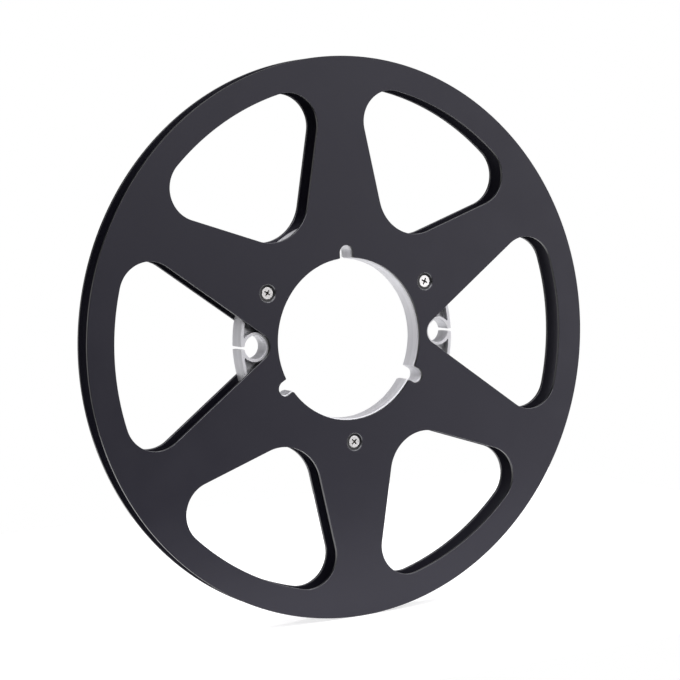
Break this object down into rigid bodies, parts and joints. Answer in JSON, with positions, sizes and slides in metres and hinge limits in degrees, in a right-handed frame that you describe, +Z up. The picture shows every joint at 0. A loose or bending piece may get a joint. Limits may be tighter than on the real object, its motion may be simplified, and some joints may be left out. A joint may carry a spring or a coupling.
{
  "type": "audio tape reel",
  "caption": "Large metal tape reel: two black flanges with rounded windows, screwed to a bright hub with a wide notched bore and split tape anchors.",
  "frame": {"origin": "centre of the bore, midway between the two flanges", "axes": "+Y along the reel's axis, from the front flange to the rear flange; +Z up through one drive notch; +X to the right as the front is seen"},
  "size_m": [0.2666, 0.0118, 0.2666],
  "materials": {
    "black_anodised": "black anodised, satin",
    "turned_aluminium": "turned, clear satin",
    "nickel_plated_steel": "nickel plated, bright"
  },
  "bodies": {
    "root": {"front_flange": "black_anodised", "rear_flange": "black_anodised", "hub": "turned_aluminium", "front_screw_right": "nickel_plated_steel", "front_screw_left": "nickel_plated_steel", "front_screw_bottom": "nickel_plated_steel", "rear_screw_right": "nickel_plated_steel", "rear_screw_left": "nickel_plated_steel", "rear_screw_bottom": "nickel_plated_steel"}
  },
  "joints": []
}
